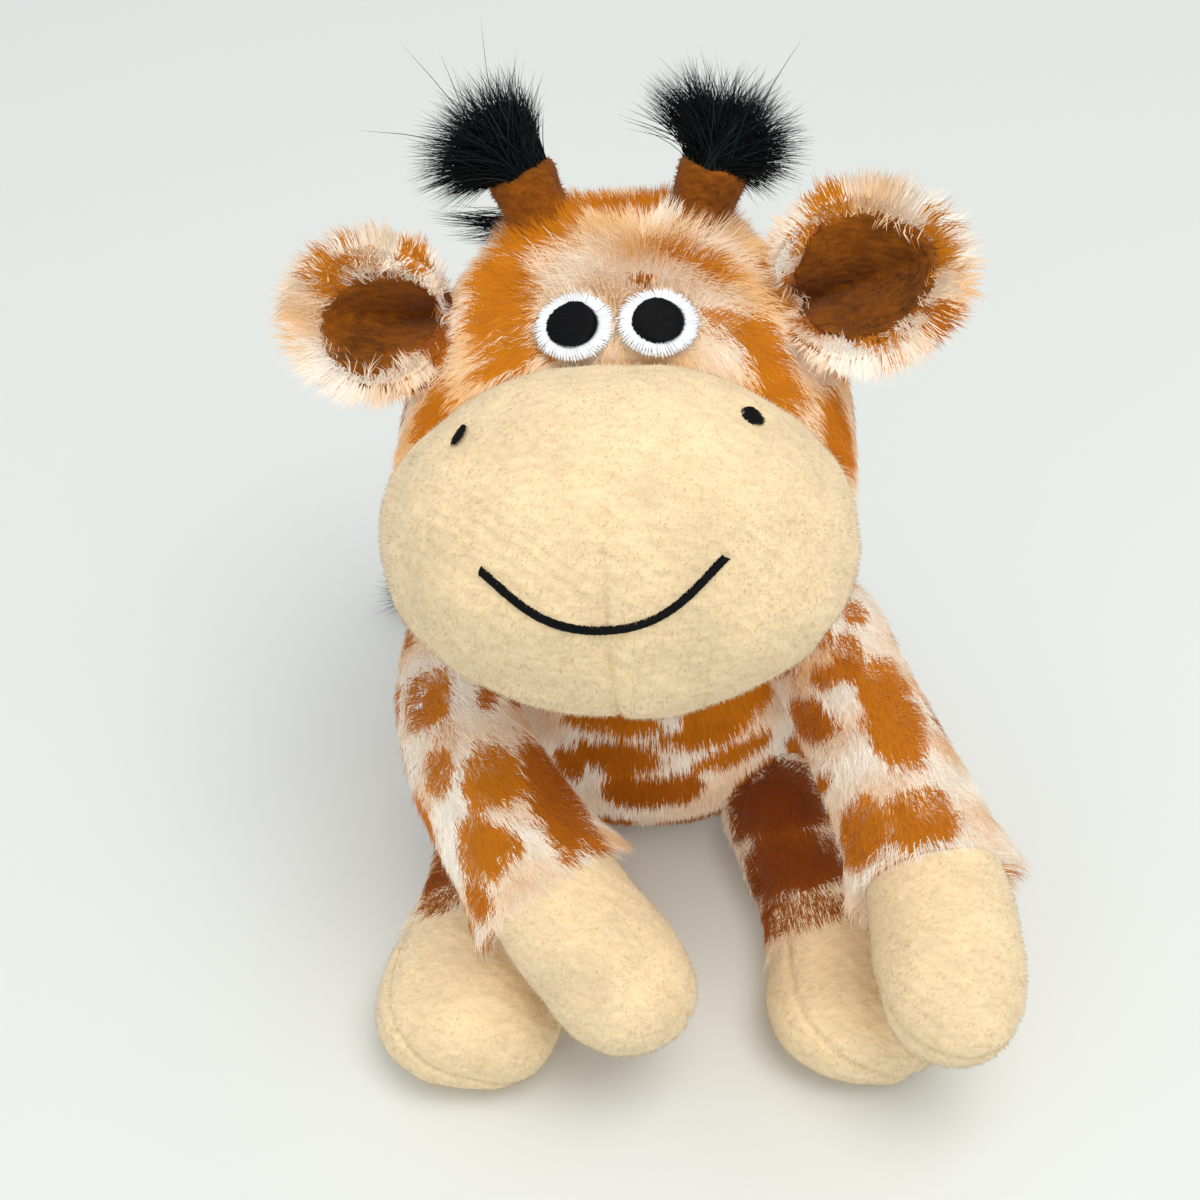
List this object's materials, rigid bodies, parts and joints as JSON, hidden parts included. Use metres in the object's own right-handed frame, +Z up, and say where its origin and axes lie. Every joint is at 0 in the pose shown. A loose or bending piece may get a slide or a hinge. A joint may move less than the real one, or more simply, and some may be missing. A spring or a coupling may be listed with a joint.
{
  "type": "plush giraffe",
  "caption": "Sitting stuffed giraffe in spotted pile with a wide cream muzzle, round ears, tufted horns and cream hooves; the head, limbs, ears and tail bend at their sewn roots.",
  "frame": {"origin": "centre of the flat underside of the rump, on the floor", "axes": "+Z up; the toy faces -Y, so its own left side is +X"},
  "size_m": [0.1551, 0.1812, 0.1967],
  "materials": {
    "pile": "long brushed polyester pile, orange-brown spots on cream",
    "velour": "short cream velour with a soft nap",
    "tan_velour": "short tan-brown velour",
    "black_fibre": "loose long black fibre",
    "black_thread": "black satin-stitch embroidery",
    "white_thread": "white satin-stitch embroidery",
    "stuffing": "polyester fibre filling",
    "lining_cloth": "plain woven lining bag of plastic pellets"
  },
  "bodies": {
    "torso": {"torso_skin": "pile", "torso_fill": "stuffing", "pellet_bag": "lining_cloth", "mane_back": "black_fibre"},
    "head": {"head_skin": "pile", "muzzle_skin": "velour", "head_fill": "stuffing", "mane_head": "black_fibre", "eye_left_white": "white_thread", "eye_left_pupil": "black_thread", "eye_right_white": "white_thread", "eye_right_pupil": "black_thread", "nostril_left": "black_thread", "nostril_right": "black_thread", "smile": "black_thread", "horn_left": "tan_velour", "horn_left_tuft": "black_fibre", "horn_right": "tan_velour", "horn_right_tuft": "black_fibre"},
    "ear_left": {"ear_left_back": "pile", "ear_left_lining": "tan_velour"},
    "ear_right": {"ear_right_back": "pile", "ear_right_lining": "tan_velour"},
    "arm_left": {"arm_left_sleeve": "pile", "arm_left_hoof": "velour", "arm_left_fill": "stuffing"},
    "arm_right": {"arm_right_sleeve": "pile", "arm_right_hoof": "velour", "arm_right_fill": "stuffing"},
    "leg_left": {"leg_left_sleeve": "pile", "leg_left_foot": "velour", "leg_left_fill": "stuffing"},
    "leg_right": {"leg_right_sleeve": "pile", "leg_right_foot": "velour", "leg_right_fill": "stuffing"},
    "tail": {"tail_tube": "pile", "tail_tuft": "black_fibre"}
  },
  "joints": [
    {"name": "head_nod", "type": "hinge", "parent": "torso", "child": "head", "pos_m": [-0.0045, -0.017, 0.119], "axis": [0.9953, -0.0587, 0.0777], "range_deg": [-10, 10]},
    {"name": "ear_left_fold", "type": "hinge", "parent": "head", "child": "ear_left", "pos_m": [0.02468, -0.02607, 0.15775], "axis": [-0.2997, 0.6361, 0.7111], "range_deg": [-20, 20], "stiffness_Nm_per_rad": 0.003},
    {"name": "ear_right_fold", "type": "hinge", "parent": "head", "child": "ear_right", "pos_m": [-0.04036, -0.02227, 0.15285], "axis": [-0.1553, -0.6249, -0.7651], "range_deg": [-20, 20], "stiffness_Nm_per_rad": 0.003},
    {"name": "arm_left_swing", "type": "hinge", "parent": "torso", "child": "arm_left", "pos_m": [0.03998, -0.02538, 0.062], "axis": [-0.8, 0, 0.6], "range_deg": [0, 55]},
    {"name": "arm_right_swing", "type": "hinge", "parent": "torso", "child": "arm_right", "pos_m": [-0.03998, -0.02538, 0.062], "axis": [-0.8, 0, -0.6], "range_deg": [0, 40]},
    {"name": "leg_left_swing", "type": "hinge", "parent": "torso", "child": "leg_left", "pos_m": [0.03255, -0.03742, 0.017], "axis": [0, 0, 1], "range_deg": [0, 35]},
    {"name": "leg_right_swing", "type": "hinge", "parent": "torso", "child": "leg_right", "pos_m": [-0.03255, -0.03742, 0.017], "axis": [0, 0, -1], "range_deg": [0, 35]},
    {"name": "tail_swing", "type": "hinge", "parent": "torso", "child": "tail", "pos_m": [0, 0.03395, 0.02], "axis": [0, 0, 1], "range_deg": [-20, 40]}
  ]
}
